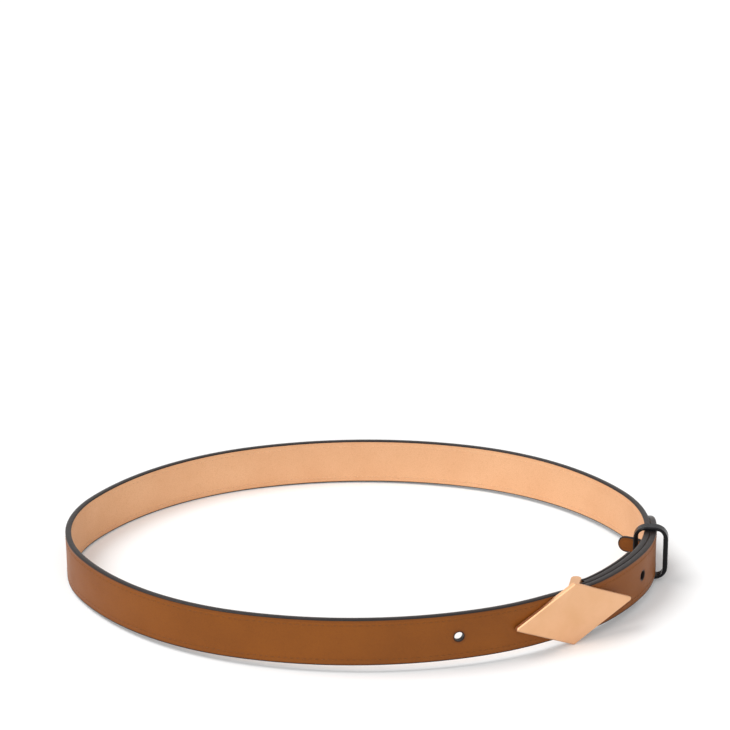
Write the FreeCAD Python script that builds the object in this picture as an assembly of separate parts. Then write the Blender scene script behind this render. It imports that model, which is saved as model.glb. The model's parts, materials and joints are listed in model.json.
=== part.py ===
import FreeCAD, Part
import math
import os
from collections import namedtuple

# Plate-buckle dress belt, closed in a loop and standing on its edge.
# Millimetres, +Z up, +X to the wearer's right hand side of the loop, origin on the floor
# under the middle of the whole belt.  Everything is first built in the strap's own frame,
# whose Z = 0 is the strap's lower edge, and leaned at the end onto its resting points.

# ---- strap -----------------------------------------------------------------------------
STRAP_WIDTH = 25.0
FACE_THICKNESS = 1.4          # brown grain leather, also the fold and the turn-back
CORE_THICKNESS = 0.4          # fibre reinforcement between the two leathers
LINING_THICKNESS = 1.2        # natural vegetable-tanned leather
LAYER_GAP = 0.3               # air between straps that lie on one another

# ---- oval that the closed strap stands in, measured on the lining ------------------------
END_RADIUS = 81.0             # end with the keeper
SHOULDER_RADIUS = 139.0       # between that end and the long sides
SIDE_RADIUS = 197.0
FAR_END_RADIUS = 77.0         # end away from the buckle
END_HALF_TURN = 28.5          # degrees of each end arc either side of the long axis
SHOULDER_TURN = 43.7

# ---- closure -----------------------------------------------------------------------------
PLATE_BEARING = -59.0         # direction the plate faces, degrees from +X
JOIN_TURN = 14.8              # bend that lays the tail over the buckle end
PLATE_ON_RUN = 18.0           # plate centre from the start of the flat run behind it
TIP_BEARING = 16.0            # where the tail's tip ends
TIP_TAPER = 24.0
TIP_NOSE_RADIUS = 4.0

# ---- punched holes -------------------------------------------------------------------------
HOLE_DIAMETER = 4.6
HOLE_SPACING = 40.0
HOLES_BEFORE_PEG = 1          # holes between the peg's hole and the long part of the strap
HOLES_AFTER_PEG = 3           # holes between the peg's hole and the tip

# ---- buckle --------------------------------------------------------------------------------
PLATE_LENGTH = 72.5
PLATE_OVERHANG = 4.4          # how far the lozenge's corners pass the strap's edges
PLATE_THICKNESS = 2.2
PLATE_CORNER_RADIUS = 1.2
PLATE_EDGE_BEVEL = 0.5
PLATE_GAP = 0.4               # plate's back to the tail
PEG_OFFSET = -22.5            # peg from the plate's centre, along the strap
PEG_DIAMETER = 3.2
PEG_REACH = 1.4               # how far the peg shows behind the tail
PEG_END_BEVEL = 0.9
BAR_OFFSET = 6.5              # crossbar from the plate's centre, along the strap
BAR_DIAMETER = 3.0
BAR_CLEARANCE = 0.15
LUG_THICKNESS = 1.8
LUG_GAP = 0.4                 # lug to the strap's edge
LUG_ROOT_LENGTH = 6.4
LUG_EYE_WALL = 1.1

# ---- turn-back of the buckle end -------------------------------------------------------------
WRAP_EXTRA_TURN = 12.0        # how far past a half turn the leather hugs the bar
PINCH_RADIUS = 8.0            # bend that lays the turn-back on the strap
LINING_STOP = 4.0             # lining and core end this far from the bar
TONGUE_WIDTH = 9.0
TONGUE_SHOULDER = 52.0        # from the bar to where the turn-back narrows
LIFT_BEARING = -7.6           # where the tongue leaves the strap, past the keeper
LIFT_RADIUS = 7.0
LIFT_TURN = 72.0
LIFT_END = 9.0

# ---- keeper ring --------------------------------------------------------------------------------
KEEPER_BEARING = -8.0
KEEPER_BAND = 6.0             # size along the strap
KEEPER_WALL = 2.5             # upright sides
KEEPER_RAIL = 1.7             # top and bottom
KEEPER_INNER_GAP = 1.5        # ring to the turn-back
KEEPER_OUTER_GAP = 3.7        # ring to the tail
KEEPER_FOOT_GAP = 0.5
KEEPER_HEAD_GAP = 0.5
KEEPER_CORNER = 7.0
KEEPER_INNER_CORNER = 3.5
KEEPER_EDGE_BEVEL = 0.6

# ---- screw posts that close the turn-back ----------------------------------------------------------
POST_COUNT = 2
POST_FIRST = 20.0             # from the bar
POST_PITCH = 15.0
POST_HEAD_DIAMETER = 8.0
POST_HEAD_THICKNESS = 0.8
POST_BARREL_DIAMETER = 4.0
SCREW_SHANK_DIAMETER = 2.4
SCREW_HEAD_THICKNESS = 1.0
SCREW_HEAD_BEVEL = 0.5
SCREW_SLOT_WIDTH = 1.0
SCREW_SLOT_DEPTH = 0.4
BARREL_FLOOR = 0.9            # barrel end kept below the screw's head
SHANK_FLOOR = 0.6             # metal left under the post's head

# ---- derived sizes ---------------------------------------------------------------------------------
STRAP_THICKNESS = FACE_THICKNESS + CORE_THICKNESS + LINING_THICKNESS
FLESH = CORE_THICKNESS + LINING_THICKNESS
STEP = STRAP_THICKNESS + LAYER_GAP
MID_HEIGHT = STRAP_WIDTH / 2
WRAP_RADIUS = BAR_DIAMETER / 2 + BAR_CLEARANCE
SIDE_HALF_TURN = 90.0 - END_HALF_TURN - SHOULDER_TURN
JOIN_BEARING = PLATE_BEARING + JOIN_TURN
_sin_end = math.sin(math.radians(END_HALF_TURN))
_sin_side = math.sin(math.radians(END_HALF_TURN + SHOULDER_TURN))
# The loop closes when the far shoulder makes up for the difference between the two ends.
FAR_SHOULDER_RADIUS = SHOULDER_RADIUS + (END_RADIUS - FAR_END_RADIUS) * _sin_end / (_sin_side - _sin_end)
END_CENTRE = FreeCAD.Vector(
    (SHOULDER_RADIUS - END_RADIUS) * math.cos(math.radians(END_HALF_TURN))
    + (SIDE_RADIUS - SHOULDER_RADIUS) * math.sin(math.radians(SIDE_HALF_TURN)),
    0, 0)
_cos_join = math.cos(math.radians(JOIN_TURN))
TAIL_JOIN_RADIUS = (SHOULDER_RADIUS - (SHOULDER_RADIUS + STEP) * _cos_join) / (1 - _cos_join)
RUN_LENGTH = (SHOULDER_RADIUS + STEP - TAIL_JOIN_RADIUS) * math.sin(math.radians(JOIN_TURN))
BAR_ON_RUN = PLATE_ON_RUN + BAR_OFFSET
BAR_DEPTH = STRAP_THICKNESS + LAYER_GAP + FACE_THICKNESS + WRAP_RADIUS
UP = FreeCAD.Vector(0, 0, 1)
OUT_OF_PLAN = 1.0             # how far cutting tools pass the faces they cut
TOOL_LAP = 0.1                # how far one cutting tool reaches into the next
CLOSE = 1e-6                  # lengths nearer than this count as equal

Leg = namedtuple("Leg", "point heading length radius")


def bearing(degrees):
    """Unit vector in plan, at so many degrees from +X."""
    turn = math.radians(degrees)
    return FreeCAD.Vector(math.cos(turn), math.sin(turn), 0)


def leg_centre(leg):
    return leg.point + bearing(leg.heading + 90) * leg.radius


def leg_point(leg, distance, offset):
    """Point of one leg at a distance along it, moved to the left by offset."""
    if leg.radius == 0.0:
        left = bearing(leg.heading + 90)
        return leg.point + bearing(leg.heading) * distance + left * offset
    turned = math.degrees(distance / leg.radius)
    return leg_centre(leg) + bearing(leg.heading - 90 + turned) * (leg.radius - offset)


class Course:
    """A line in plan made of straights and arcs that run on smoothly.

    A leg's radius is 0 on a straight, positive where it turns left and negative where it
    turns right.  Offsets are to the left.
    """

    def __init__(self, point, heading):
        self.point = point
        self.heading = heading
        self.legs = []
        self.length = 0.0

    def _add(self, length, radius):
        leg = Leg(self.point, self.heading, length, radius)
        self.legs.append(leg)
        self.point = leg_point(leg, length, 0.0)
        self.heading += math.degrees(length / radius) if radius else 0.0
        self.length += length

    def straight(self, length):
        self._add(length, 0.0)

    def bend(self, degrees, radius):
        """Turn left by degrees, or right where degrees is negative."""
        self._add(radius * math.radians(abs(degrees)), math.copysign(radius, degrees))

    def at(self, distance):
        """Point and heading at a distance from the start."""
        for leg in self.legs:
            if distance <= leg.length + CLOSE:
                turned = math.degrees(distance / leg.radius) if leg.radius else 0.0
                return leg_point(leg, distance, 0.0), leg.heading + turned
            distance -= leg.length
        raise ValueError("that distance lies past the end of the course")

    def frame_at(self, distance):
        """Placement at a distance: X along the course, Y to its left, Z up."""
        point, heading = self.at(distance)
        return FreeCAD.Placement(point, FreeCAD.Rotation(UP, heading))

    def stretch(self, first, last):
        """The part of the course between two distances, as a course of its own."""
        piece = Course(*self.at(first))
        passed = 0.0
        for leg in self.legs:
            length = min(last, passed + leg.length) - max(first, passed)
            if length > 0:
                piece._add(length, leg.radius)
            passed += leg.length
        return piece

    def side(self, offset):
        """Edges of the course, moved to the left by offset, with their two end points."""
        edges = []
        for leg in self.legs:
            start = leg_point(leg, 0.0, offset)
            end = leg_point(leg, leg.length, offset)
            if leg.radius == 0.0:
                edges.append(Part.makeLine(start, end))
            else:
                edges.append(Part.Arc(start, leg_point(leg, leg.length / 2, offset), end).toShape())
        return edges, leg_point(self.legs[0], 0.0, offset), end


def band(course, near, far, low=0.0, high=STRAP_WIDTH):
    """Upright band between two offsets of a course."""
    near_edges, near_start, near_end = course.side(near)
    far_edges, far_start, far_end = course.side(far)
    outline = near_edges + [Part.makeLine(near_end, far_end)]
    outline += far_edges[::-1] + [Part.makeLine(far_start, near_start)]
    solid = Part.Face(Part.Wire(outline)).extrude(UP * (high - low))
    solid.translate(UP * low)
    return solid


def rod(frame, radius, start, end):
    """Cylinder along a frame's Y axis at the strap's mid height."""
    base = FreeCAD.Vector(0, start, MID_HEIGHT)
    cylinder = Part.makeCylinder(radius, end - start, base, FreeCAD.Vector(0, 1, 0))
    return cylinder.transformed(frame.toMatrix())


def flat(points_xz, y):
    return [FreeCAD.Vector(x, y, z) for x, z in points_xz]


# ---- courses ---------------------------------------------------------------------------

def strap_course(rise):
    """From the tail's tip round to the bar, at a height above the lining's inner face."""
    course = Course(END_CENTRE + bearing(TIP_BEARING) * (END_RADIUS + STEP + rise),
                    TIP_BEARING - 90)
    course.bend(-TIP_BEARING - END_HALF_TURN, END_RADIUS + STEP + rise)
    course.bend(JOIN_BEARING + END_HALF_TURN, SHOULDER_RADIUS + STEP + rise)
    course.bend(-JOIN_TURN, TAIL_JOIN_RADIUS + rise)
    course.straight(RUN_LENGTH)
    course.bend(-PLATE_BEARING - END_HALF_TURN - SHOULDER_TURN, SHOULDER_RADIUS + rise)
    course.bend(-2 * SIDE_HALF_TURN, SIDE_RADIUS + rise)
    course.bend(-SHOULDER_TURN, FAR_SHOULDER_RADIUS + rise)
    course.bend(-2 * END_HALF_TURN, FAR_END_RADIUS + rise)
    course.bend(-SHOULDER_TURN, FAR_SHOULDER_RADIUS + rise)
    course.bend(-2 * SIDE_HALF_TURN, SIDE_RADIUS + rise)
    course.bend(-SHOULDER_TURN, SHOULDER_RADIUS + rise)
    course.bend(-2 * END_HALF_TURN, END_RADIUS + rise)
    course.bend(JOIN_BEARING + END_HALF_TURN, SHOULDER_RADIUS + rise)
    course.bend(-JOIN_TURN, TAIL_JOIN_RADIUS - STEP + rise)
    course.straight(RUN_LENGTH - BAR_ON_RUN)
    return course


def turn_back_course():
    """Flesh side of the face leather from the bar, round it and back along the strap."""
    strap = strap_course(FLESH)
    join = leg_centre(strap.legs[-2])
    join_radius = abs(strap.legs[-2].radius) - FLESH - LAYER_GAP
    course = Course(strap.point, strap.heading)
    course.bend(-180 - WRAP_EXTRA_TURN, WRAP_RADIUS)
    # Straight on until a bend of PINCH_RADIUS lays the leather against the join's arc.
    along = bearing(course.heading)
    reach = course.point + bearing(course.heading + 90) * PINCH_RADIUS - join
    inner = join_radius - PINCH_RADIUS
    course.straight(math.sqrt(reach.dot(along) ** 2 - reach.dot(reach) + inner ** 2) - reach.dot(along))
    touch = course.point + bearing(course.heading + 90) * PINCH_RADIUS - join
    touch_bearing = math.degrees(math.atan2(touch.y, touch.x))
    course.bend((touch_bearing + 90 - course.heading) % 360, PINCH_RADIUS)
    course.bend(JOIN_BEARING - touch_bearing, join_radius)
    course.bend(-END_HALF_TURN - JOIN_BEARING, SHOULDER_RADIUS - LAYER_GAP)
    course.bend(LIFT_BEARING + END_HALF_TURN, END_RADIUS - LAYER_GAP)
    course.bend(LIFT_TURN, LIFT_RADIUS)
    course.straight(LIFT_END)
    return course


# ---- strap -------------------------------------------------------------------------------

def tip_waste():
    """What is cut from a square strap end to leave the tail's rounded point."""
    # Each side is an arc that is tangent to the strap's edge and to the nose.
    reach = TIP_TAPER - TIP_NOSE_RADIUS
    radius = (reach ** 2 + MID_HEIGHT ** 2 - TIP_NOSE_RADIUS ** 2) / (2 * (MID_HEIGHT - TIP_NOSE_RADIUS))
    turn = math.asin(reach / (radius - TIP_NOSE_RADIUS))
    end_x = TIP_TAPER + 2 * OUT_OF_PLAN
    y = -STRAP_WIDTH / 2
    keep = []
    for side in (-1, 1):
        keep.append(flat(
            [(end_x, side * MID_HEIGHT), (TIP_TAPER, side * MID_HEIGHT),
             (TIP_TAPER - radius * math.sin(turn / 2),
              side * (MID_HEIGHT - radius * (1 - math.cos(turn / 2)))),
             (TIP_NOSE_RADIUS * (1 - math.sin(turn)), side * TIP_NOSE_RADIUS * math.cos(turn))], y))
    (corner_a, shoulder_a, waist_a, nose_a), (corner_b, shoulder_b, waist_b, nose_b) = keep
    outline = Part.Wire([
        Part.makeLine(corner_a, shoulder_a), Part.Arc(shoulder_a, waist_a, nose_a).toShape(),
        Part.Arc(nose_a, FreeCAD.Vector(0, y, 0), nose_b).toShape(),
        Part.Arc(nose_b, waist_b, shoulder_b).toShape(), Part.makeLine(shoulder_b, corner_b),
        Part.makeLine(corner_b, corner_a)])
    prism = Part.Face(outline).extrude(FreeCAD.Vector(0, STRAP_WIDTH, 0))
    prism.translate(UP * MID_HEIGHT)
    strap = strap_course(0.0)
    start = math.degrees(OUT_OF_PLAN / END_RADIUS)
    tail = Course(END_CENTRE + bearing(TIP_BEARING + start) * (END_RADIUS + STEP),
                  TIP_BEARING + start - 90)
    tail.bend(-math.degrees(TIP_TAPER / END_RADIUS), END_RADIUS + STEP)
    region = band(tail, -LAYER_GAP / 2, STRAP_THICKNESS + LAYER_GAP / 2,
                  -OUT_OF_PLAN, STRAP_WIDTH + OUT_OF_PLAN)
    return region.cut(prism.transformed(strap.frame_at(0.0).toMatrix()))


def tongue_waste():
    """What is cut from the turn-back to leave its narrow, round-ended tongue."""
    course = turn_back_course()
    half = TONGUE_WIDTH / 2
    bend = (MID_HEIGHT - half) / 2
    turn = bend * math.sin(math.radians(45))
    narrow = TONGUE_SHOULDER + 2 * bend
    y = -STRAP_WIDTH / 2
    near, far = -LAYER_GAP / 2, FACE_THICKNESS + LAYER_GAP / 2
    waste = []
    for side in (-1, 1):
        wide, first, middle, second, thin, corner = flat(
            [(0, side * MID_HEIGHT), (turn, side * (MID_HEIGHT - bend + turn)),
             (bend, side * (MID_HEIGHT - bend)), (2 * bend - turn, side * (half + bend - turn)),
             (2 * bend, side * half), (2 * bend, side * (MID_HEIGHT + OUT_OF_PLAN))], y)
        above = FreeCAD.Vector(0, y, side * (MID_HEIGHT + OUT_OF_PLAN))
        outline = Part.Wire([
            Part.makeLine(above, wide), Part.Arc(wide, first, middle).toShape(),
            Part.Arc(middle, second, thin).toShape(), Part.makeLine(thin, corner),
            Part.makeLine(corner, above)])
        prism = Part.Face(outline).extrude(FreeCAD.Vector(0, STRAP_WIDTH, 0))
        prism.translate(UP * MID_HEIGHT)
        prism = prism.transformed(course.frame_at(TONGUE_SHOULDER).toMatrix())
        shoulder = course.stretch(TONGUE_SHOULDER - OUT_OF_PLAN, narrow + OUT_OF_PLAN)
        waste.append(band(shoulder, near, far, -OUT_OF_PLAN, STRAP_WIDTH + OUT_OF_PLAN).common(prism))
        low, high = sorted((MID_HEIGHT + side * half, MID_HEIGHT + side * (MID_HEIGHT + OUT_OF_PLAN)))
        waste.append(band(course.stretch(narrow - TOOL_LAP, course.length), near, far, low, high))
    end = course.frame_at(course.length)
    nose = Part.makeBox(half + OUT_OF_PLAN, STRAP_WIDTH, TONGUE_WIDTH,
                        FreeCAD.Vector(-half, y, MID_HEIGHT - half))
    round_end = Part.makeCylinder(half, STRAP_WIDTH, FreeCAD.Vector(-half, y, MID_HEIGHT),
                                  FreeCAD.Vector(0, 1, 0))
    waste.append(nose.cut(round_end).transformed(end.toMatrix()))
    return waste


def hole_distances(plate_distance):
    """Distances of the punched holes' centres from the tail's tip."""
    peg = plate_distance - PEG_OFFSET
    return [peg + step * HOLE_SPACING for step in range(-HOLES_AFTER_PEG, HOLES_BEFORE_PEG + 1)]


def post_frames():
    """Placements of the screw posts: X along the strap, Y outward, Z up."""
    strap = strap_course(0.0)
    return [strap.frame_at(strap.length - POST_FIRST - step * POST_PITCH) for step in range(POST_COUNT)]


def make_strap(plate_distance):
    """Face, core and lining leather, cut and punched together."""
    face_course = strap_course(FLESH)
    for leg in turn_back_course().legs:
        face_course._add(leg.length, leg.radius)
    core_course = strap_course(LINING_THICKNESS)
    lining_course = strap_course(0.0)
    core_course = core_course.stretch(0.0, core_course.length - LINING_STOP)
    lining_course = lining_course.stretch(0.0, lining_course.length - LINING_STOP)
    layers = {
        "strap_face": band(face_course, 0.0, FACE_THICKNESS),
        "strap_core": band(core_course, 0.0, CORE_THICKNESS),
        "strap_lining": band(lining_course, 0.0, LINING_THICKNESS),
    }
    strap = strap_course(0.0)
    cuts = [tip_waste()] + tongue_waste()
    for distance in hole_distances(plate_distance):
        cuts.append(rod(strap.frame_at(distance), HOLE_DIAMETER / 2,
                        -LAYER_GAP / 2, STRAP_THICKNESS + LAYER_GAP / 2))
    skin = -LAYER_GAP - FACE_THICKNESS
    under = skin - SCREW_HEAD_THICKNESS
    over = STRAP_THICKNESS + LAYER_GAP / 2
    for frame in post_frames():
        cuts.append(rod(frame, POST_BARREL_DIAMETER / 2, under, over))
        cuts.append(rod(frame, POST_HEAD_DIAMETER / 2, under, skin))
        cuts.append(rod(frame, POST_HEAD_DIAMETER / 2, STRAP_THICKNESS - POST_HEAD_THICKNESS, over))
    return {name: layer.cut(cuts) for name, layer in layers.items()}


def make_post(frame):
    """Flanged barrel of a screw post, its head let into the leather."""
    skin = -LAYER_GAP - FACE_THICKNESS
    head_seat = STRAP_THICKNESS - POST_HEAD_THICKNESS
    post = rod(frame, POST_HEAD_DIAMETER / 2, head_seat, STRAP_THICKNESS)
    post = post.fuse(rod(frame, POST_BARREL_DIAMETER / 2, skin + BARREL_FLOOR, head_seat))
    bore = rod(frame, SCREW_SHANK_DIAMETER / 2, skin, STRAP_THICKNESS - SHANK_FLOOR)
    return post.cut(bore).removeSplitter()


def make_screw(frame):
    """Low, bevelled and slotted screw that goes into a post from the loop's inside."""
    skin = -LAYER_GAP - FACE_THICKNESS
    top = skin - SCREW_HEAD_THICKNESS
    head = rod(FreeCAD.Placement(), POST_HEAD_DIAMETER / 2, top, skin)
    rim = [edge for edge in head.Edges if abs(edge.BoundBox.YMax - top) < CLOSE]
    head = head.makeChamfer(SCREW_HEAD_BEVEL, rim)
    slot = Part.makeBox(POST_HEAD_DIAMETER, SCREW_SLOT_DEPTH, SCREW_SLOT_WIDTH,
                        FreeCAD.Vector(-POST_HEAD_DIAMETER / 2, top, MID_HEIGHT - SCREW_SLOT_WIDTH / 2))
    shank = rod(FreeCAD.Placement(), SCREW_SHANK_DIAMETER / 2, skin,
                STRAP_THICKNESS - POST_HEAD_THICKNESS)
    return head.cut(slot).fuse(shank).removeSplitter().transformed(frame.toMatrix())


# ---- buckle --------------------------------------------------------------------------------

def plate_place():
    """Placement of the buckle and its distance from the tail's tip.

    X runs along the strap, Y inward from the tail's outer face and Z up.
    """
    strap = strap_course(0.0)
    before_run = sum(leg.length for leg in strap.legs[:3])
    distance = before_run + RUN_LENGTH - PLATE_ON_RUN
    point, _ = strap.at(distance)
    face = point + bearing(PLATE_BEARING) * STRAP_THICKNESS
    return FreeCAD.Placement(face, FreeCAD.Rotation(UP, PLATE_BEARING + 90)), distance


def make_plate():
    """Flat lozenge with softened corners and front edges."""
    half_length = PLATE_LENGTH / 2
    half_height = MID_HEIGHT + PLATE_OVERHANG
    corners = flat([(-half_length, MID_HEIGHT), (0, MID_HEIGHT - half_height),
                    (half_length, MID_HEIGHT), (0, MID_HEIGHT + half_height)], -PLATE_GAP)
    outline = Part.makePolygon(corners + corners[:1])
    plate = Part.Face(outline).extrude(FreeCAD.Vector(0, -PLATE_THICKNESS, 0))
    across = [edge for edge in plate.Edges if edge.BoundBox.XLength < CLOSE]
    plate = plate.makeFillet(PLATE_CORNER_RADIUS, across)
    front = -PLATE_GAP - PLATE_THICKNESS
    rim = [edge for edge in plate.Edges
           if abs(edge.BoundBox.YMin - front) < CLOSE and edge.BoundBox.YLength < CLOSE]
    return plate.makeChamfer(PLATE_EDGE_BEVEL, rim)


def tangent_point(corner, centre, radius, side):
    """Where a line from a corner touches a circle, on one side of it."""
    away = corner - centre
    swing = side * math.acos(radius / away.Length)
    turned = FreeCAD.Rotation(UP, math.degrees(swing)).multVec(away)
    return centre + turned.normalize() * radius


def make_lug(low):
    """Ear from the plate's back over the strap's edge to the crossbar."""
    eye_radius = BAR_DIAMETER / 2 + LUG_EYE_WALL
    eye = FreeCAD.Vector(BAR_OFFSET, BAR_DEPTH, low)
    near = FreeCAD.Vector(-LUG_ROOT_LENGTH / 2, -PLATE_GAP, low)
    far = FreeCAD.Vector(LUG_ROOT_LENGTH / 2, -PLATE_GAP, low)
    near_touch = tangent_point(near, eye, eye_radius, -1)
    far_touch = tangent_point(far, eye, eye_radius, 1)
    tip = eye + (eye - (near + far) / 2).normalize() * eye_radius
    outline = Part.Wire([
        Part.makeLine(near, near_touch), Part.Arc(near_touch, tip, far_touch).toShape(),
        Part.makeLine(far_touch, far), Part.makeLine(far, near)])
    lug = Part.Face(outline).extrude(UP * LUG_THICKNESS)
    bore = Part.makeCylinder(BAR_DIAMETER / 2, LUG_THICKNESS, eye)
    return lug.cut(bore)


def make_peg(strap, distance, frame):
    """Stud on the plate's back that stands in one of the tail's holes."""
    station, _ = strap.at(distance - PEG_OFFSET)
    behind = frame.inverse().multVec(station).y + PEG_REACH
    base = FreeCAD.Vector(PEG_OFFSET, -PLATE_GAP, MID_HEIGHT)
    peg = Part.makeCylinder(PEG_DIAMETER / 2, behind + PLATE_GAP, base, FreeCAD.Vector(0, 1, 0))
    end = [edge for edge in peg.Edges if abs(edge.BoundBox.YMin - behind) < CLOSE]
    return peg.makeChamfer(PEG_END_BEVEL, end)


def make_buckle(frame, distance):
    bar_base = FreeCAD.Vector(BAR_OFFSET, BAR_DEPTH, -LUG_GAP - LUG_THICKNESS)
    bar_length = STRAP_WIDTH + 2 * (LUG_GAP + LUG_THICKNESS)
    pieces = {
        "buckle_plate": make_plate(),
        "buckle_lug_upper": make_lug(STRAP_WIDTH + LUG_GAP),
        "buckle_lug_lower": make_lug(-LUG_GAP - LUG_THICKNESS),
        "buckle_crossbar": Part.makeCylinder(BAR_DIAMETER / 2, bar_length, bar_base),
        "buckle_peg": make_peg(strap_course(0.0), distance, frame),
    }
    return {name: piece.transformed(frame.toMatrix()) for name, piece in pieces.items()}


# ---- keeper ----------------------------------------------------------------------------------

def rounded_bar(inner_side, outer_side, foot, head, corner):
    """Rounded rectangle between two sides, a foot and a head, one ring band long."""
    box = Part.makeBox(KEEPER_BAND, outer_side - inner_side, head - foot,
                       FreeCAD.Vector(-KEEPER_BAND / 2, inner_side, foot))
    along = [edge for edge in box.Edges if edge.BoundBox.XLength > KEEPER_BAND / 2]
    return box.makeFillet(corner, along)


def make_keeper():
    """Loose metal ring round the three straps past the buckle."""
    inner_side = -LAYER_GAP - FACE_THICKNESS - KEEPER_INNER_GAP
    outer_side = STEP + STRAP_THICKNESS + KEEPER_OUTER_GAP
    foot = -KEEPER_FOOT_GAP
    head = STRAP_WIDTH + KEEPER_HEAD_GAP
    ring = rounded_bar(inner_side - KEEPER_WALL, outer_side + KEEPER_WALL,
                       foot - KEEPER_RAIL, head + KEEPER_RAIL, KEEPER_CORNER)
    rims = [edge for edge in ring.Edges if edge.BoundBox.XLength < CLOSE]
    ring = ring.makeChamfer(KEEPER_EDGE_BEVEL, rims)
    ring = ring.cut(rounded_bar(inner_side, outer_side, foot, head, KEEPER_INNER_CORNER))
    place = FreeCAD.Placement(END_CENTRE + bearing(KEEPER_BEARING) * END_RADIUS,
                              FreeCAD.Rotation(UP, KEEPER_BEARING - 90))
    return ring.transformed(place.toMatrix())


# ---- the whole belt ---------------------------------------------------------------------------

def far_edge():
    """The strap's outermost point on the side away from the plate."""
    strap = strap_course(STRAP_THICKNESS)
    away = bearing(PLATE_BEARING + 180)
    return max((leg_point(leg, leg.length, 0.0) for leg in strap.legs), key=away.dot)


def lean(frame):
    """Tilt that brings the plate's lower corner and the far side of the strap to the floor."""
    facing = bearing(PLATE_BEARING)
    across = (frame.Base - far_edge()).dot(facing) + PLATE_GAP
    tilt = math.degrees(math.atan2(PLATE_OVERHANG, across))
    axis = UP.cross(facing)
    return FreeCAD.Placement(FreeCAD.Vector(), FreeCAD.Rotation(axis, -tilt))


def make_belt():
    """Every piece of the belt, in its resting place, and the placement that put it there."""
    frame, distance = plate_place()
    pieces = make_strap(distance)
    pieces.update(make_buckle(frame, distance))
    pieces["keeper_ring"] = make_keeper()
    for number, post in enumerate(post_frames(), 1):
        pieces[f"screw_post_{number}"] = make_post(post)
        pieces[f"screw_{number}"] = make_screw(post)
    place = lean(frame)
    leaned = Part.makeCompound([piece.transformed(place.toMatrix()) for piece in pieces.values()])
    box = leaned.BoundBox
    place.Base = FreeCAD.Vector(-box.Center.x, -box.Center.y, -box.ZMin)
    return {name: piece.transformed(place.toMatrix()) for name, piece in pieces.items()}, place


belt, belt_place = make_belt()
os.makedirs("parts", exist_ok=True)
for name, piece in belt.items():
    piece.exportStep(f"parts/{name}.step")
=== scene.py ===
import json
import math
from collections import namedtuple

import bmesh
import bpy
from mathutils import Matrix, Vector


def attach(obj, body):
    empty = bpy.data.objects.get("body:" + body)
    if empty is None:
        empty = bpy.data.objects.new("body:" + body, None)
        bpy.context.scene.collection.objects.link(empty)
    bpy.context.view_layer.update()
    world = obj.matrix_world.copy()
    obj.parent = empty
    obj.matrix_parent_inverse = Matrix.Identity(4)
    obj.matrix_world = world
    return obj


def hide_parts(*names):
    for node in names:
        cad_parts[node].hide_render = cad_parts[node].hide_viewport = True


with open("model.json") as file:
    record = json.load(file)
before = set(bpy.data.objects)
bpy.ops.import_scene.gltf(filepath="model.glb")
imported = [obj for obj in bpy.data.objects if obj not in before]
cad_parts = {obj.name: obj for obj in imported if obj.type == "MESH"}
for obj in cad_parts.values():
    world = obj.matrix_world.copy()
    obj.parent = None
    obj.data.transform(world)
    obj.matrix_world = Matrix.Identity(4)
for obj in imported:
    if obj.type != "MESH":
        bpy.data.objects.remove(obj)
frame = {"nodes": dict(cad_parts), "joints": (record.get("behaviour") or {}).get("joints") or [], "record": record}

bl_info = {
    "name": "Plate-buckle dress belt",
    "version": (1, 0, 0),
    "blender": (4, 5, 0),
    "location": "3D View > Sidebar > Belt",
    "description": "Dresses a belt's frame in leather, painted edges, stitching and metal finishes",
    "category": "Object",
}

UP = Vector((0, 0, 1))
FLOOR_WIDTH = 12.0

# Fineness of the courses, the leathers and their outlines. Lengths are in metres.
SAME_POINT = 1e-7              # points nearer than this are one
PATH_STEP = 0.0005             # longest step of a course's curve
PATH_TURN = math.radians(3)
SHEET_STEP = 0.002             # longest face of a leather
SHEET_TURN = math.radians(8)
LEAST_STEP = SHEET_STEP / 8    # a column nearer than this to a hole's window or an end is left out
NOSE_PARTS = 8
POINT_PARTS = 16
SHOULDER_PARTS = 10
TONGUE_PARTS = 16
BEAD_PARTS = 8

# Rows of a leather, from its edge to its middle
SKIRT_REST = 0.0006            # from the skirt of the edge paint to the first flat row
CREASE_FLANK = 0.00025         # from the crease to the rows on both its sides
BORDER_REST = 0.0008           # from the crease to the last row that keeps its distance
INNER_ROW = 0.0045             # from the edge to a row between the border and the holes

# Punched holes
WINDOW = 0.005                 # half side of the square left round a hole
WINDOW_PARTS = 8
LIP = 0.0005                   # width of a hole's rounded lip
LIP_STEPS = (LIP, LIP * 0.55, LIP * 0.2, 0.0)      # closer where the lip turns into the hole
LIP_DEPTH = 0.00025
# Nearest a hole the leather also takes a dark ring, partly paint and partly painted shade of the bore.
HANDLED = 4 * LIP              # leather nearer to a hole than this darkens with use

LEATHER_SHARP = math.radians(45)       # edges that turn more than this stay sharp
PAINT_SHARP = math.radians(60)

Leg = namedtuple("Leg", "point heading length radius")
Rim = namedtuple("Rim", "x z out_x out_z")      # a point of a flat outline and its way outwards
Rows = namedtuple("Rows", "insets border middle")
Hole = namedtuple("Hole", "x z radius")


# ---- sizes and colours that a user would change ------------------------------------------------

# Each of these is one kind of value, with its name, default and description.

def size(name, default, description):
    return bpy.props.FloatProperty(name=name, default=default, description=description,
                                   min=0.0, precision=5, unit="LENGTH")


def angle(name, degrees, description):
    return bpy.props.FloatProperty(name=name, default=math.radians(degrees),
                                   description=description, subtype="ANGLE")


def count(name, default, description):
    return bpy.props.IntProperty(name=name, default=default, description=description, min=0)


def colour(name, default, description):
    return bpy.props.FloatVectorProperty(name=name, default=default, description=description,
                                         subtype="COLOR", size=3, min=0.0, max=1.0)


def direction(name, default, description):
    return bpy.props.FloatVectorProperty(name=name, default=default, description=description,
                                         subtype="DIRECTION", size=3)


def brightness(name, default, description):
    return bpy.props.FloatProperty(name=name, default=default, description=description, min=0.0)


def share(name, default, description):
    return bpy.props.FloatProperty(name=name, default=default, description=description,
                                   min=0.0, max=1.0, subtype="FACTOR")


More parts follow.
